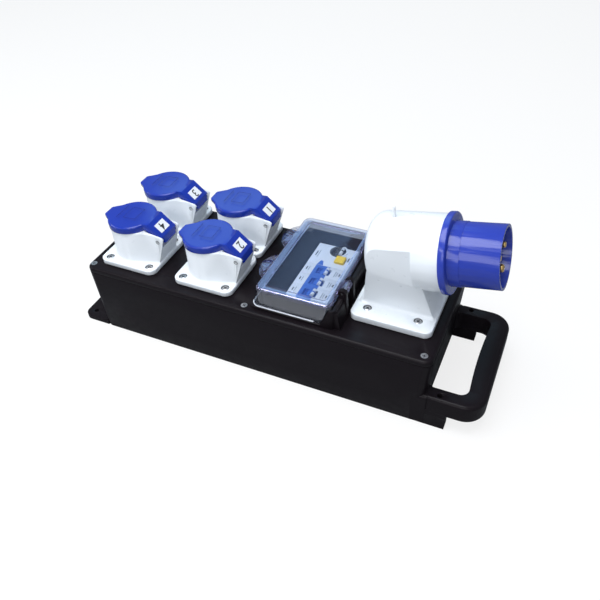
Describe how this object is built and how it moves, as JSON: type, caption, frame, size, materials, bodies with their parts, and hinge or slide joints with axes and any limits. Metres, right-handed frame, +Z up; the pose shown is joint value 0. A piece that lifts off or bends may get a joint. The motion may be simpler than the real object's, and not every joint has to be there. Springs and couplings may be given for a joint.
{
  "type": "portable power distribution box",
  "caption": "Long black moulded box with a carry handle, blue lidded industrial sockets, an angled industrial inlet and breakers under a hinged clear hood.",
  "frame": {"origin": "middle of the overall footprint, on the surface the box stands on", "axes": "+X along the box towards the carry handle and inlet, +Y towards the long side away from the viewer in the picture, +Z up out of the lid"},
  "size_m": [0.485, 0.15, 0.2065],
  "materials": {
    "housing_black": "fine moulded grain, satin",
    "gasket_black": "matte",
    "socket_white": "smooth moulded",
    "insert_white": "satin moulded",
    "lid_blue": "smooth moulded",
    "shroud_blue": "smooth moulded",
    "label_white": "printed film",
    "contact_brass": "turned",
    "screw_steel": "plated",
    "hood_clear": "clear polycarbonate",
    "breaker_white": "satin moulded",
    "toggle_white": "smooth moulded",
    "button_yellow": "smooth moulded",
    "rail_steel": "zinc plated"
  },
  "bodies": {
    "housing": {"base_housing": "housing_black", "breaker_1": "breaker_white", "breaker_2": "breaker_white", "breaker_3": "breaker_white", "din_rail": "rail_steel", "inlet_gasket": "gasket_black", "inlet_housing": "socket_white", "inlet_pin_carrier": "shroud_blue", "inlet_pins": "contact_brass", "inlet_screws": "screw_steel", "inlet_shroud": "shroud_blue", "lid_gasket": "gasket_black", "lid_hinge_pins": "screw_steel", "lid_plate": "housing_black", "lid_screws": "screw_steel", "rail_brackets": "housing_black", "rcd_body": "breaker_white", "socket_body_1": "socket_white", "socket_body_2": "socket_white", "socket_body_3": "socket_white", "socket_body_4": "socket_white", "socket_contacts_1": "contact_brass", "socket_contacts_2": "contact_brass", "socket_contacts_3": "contact_brass", "socket_contacts_4": "contact_brass", "socket_gaskets": "gasket_black", "socket_insert_1": "insert_white", "socket_insert_2": "insert_white", "socket_insert_3": "insert_white", "socket_insert_4": "insert_white", "socket_screws": "screw_steel", "window_frame": "housing_black", "window_hinge_pins": "screw_steel", "window_screws": "screw_steel"},
    "lid_1": {"socket_lid_1": "lid_blue", "number_plate_1": "label_white", "lid_seal_1": "gasket_black"},
    "lid_2": {"socket_lid_2": "lid_blue", "number_plate_2": "label_white", "lid_seal_2": "gasket_black"},
    "lid_3": {"socket_lid_3": "lid_blue", "number_plate_3": "label_white", "lid_seal_3": "gasket_black"},
    "lid_4": {"socket_lid_4": "lid_blue", "number_plate_4": "label_white", "lid_seal_4": "gasket_black"},
    "hood": {"window_cover": "hood_clear"},
    "toggle_1": {"breaker_toggle_1": "toggle_white"},
    "toggle_2": {"breaker_toggle_2": "toggle_white"},
    "toggle_3": {"breaker_toggle_3": "toggle_white"},
    "rcd_lever": {"rcd_toggle": "toggle_white"},
    "button": {"test_button": "button_yellow"}
  },
  "joints": [
    {"name": "lid_1_hinge", "type": "hinge", "parent": "housing", "child": "lid_1", "pos_m": [-0.031, 0.0405, 0.1258], "axis": [0, 1, 0], "range_deg": [0, 105], "stiffness_Nm_per_rad": 0.03, "springref_deg": -34.38},
    {"name": "lid_2_hinge", "type": "hinge", "parent": "housing", "child": "lid_2", "pos_m": [-0.031, -0.0287, 0.1258], "axis": [0, 1, 0], "range_deg": [0, 105], "stiffness_Nm_per_rad": 0.03, "springref_deg": -34.38},
    {"name": "lid_3_hinge", "type": "hinge", "parent": "housing", "child": "lid_3", "pos_m": [-0.127, 0.0405, 0.1258], "axis": [0, 1, 0], "range_deg": [0, 105], "stiffness_Nm_per_rad": 0.03, "springref_deg": -34.38},
    {"name": "lid_4_hinge", "type": "hinge", "parent": "housing", "child": "lid_4", "pos_m": [-0.127, -0.0287, 0.1258], "axis": [0, 1, 0], "range_deg": [0, 105], "stiffness_Nm_per_rad": 0.03, "springref_deg": -34.38},
    {"name": "hood_hinge", "type": "hinge", "parent": "housing", "child": "hood", "pos_m": [0.0858, 0.0028, 0.1192], "axis": [0, 1, 0], "range_deg": [0, 95]},
    {"name": "toggle_1_hinge", "type": "hinge", "parent": "housing", "child": "toggle_1", "pos_m": [0.0505, -0.0422, 0.1037], "axis": [0, -1, 0], "range_deg": [0, 60]},
    {"name": "toggle_2_hinge", "type": "hinge", "parent": "housing", "child": "toggle_2", "pos_m": [0.0505, -0.0242, 0.1037], "axis": [0, -1, 0], "range_deg": [0, 60]},
    {"name": "toggle_3_hinge", "type": "hinge", "parent": "housing", "child": "toggle_3", "pos_m": [0.0505, -0.0062, 0.1037], "axis": [0, -1, 0], "range_deg": [0, 60]},
    {"name": "rcd_lever_hinge", "type": "hinge", "parent": "housing", "child": "rcd_lever", "pos_m": [0.053, 0.0308, 0.1037], "axis": [0, -1, 0], "range_deg": [0, 60]},
    {"name": "button_slide", "type": "slide", "parent": "housing", "child": "button", "axis": [0, 0, -1], "range_m": [0, 0.0015], "stiffness_N_per_m": 500, "springref_m": -0.001}
  ]
}
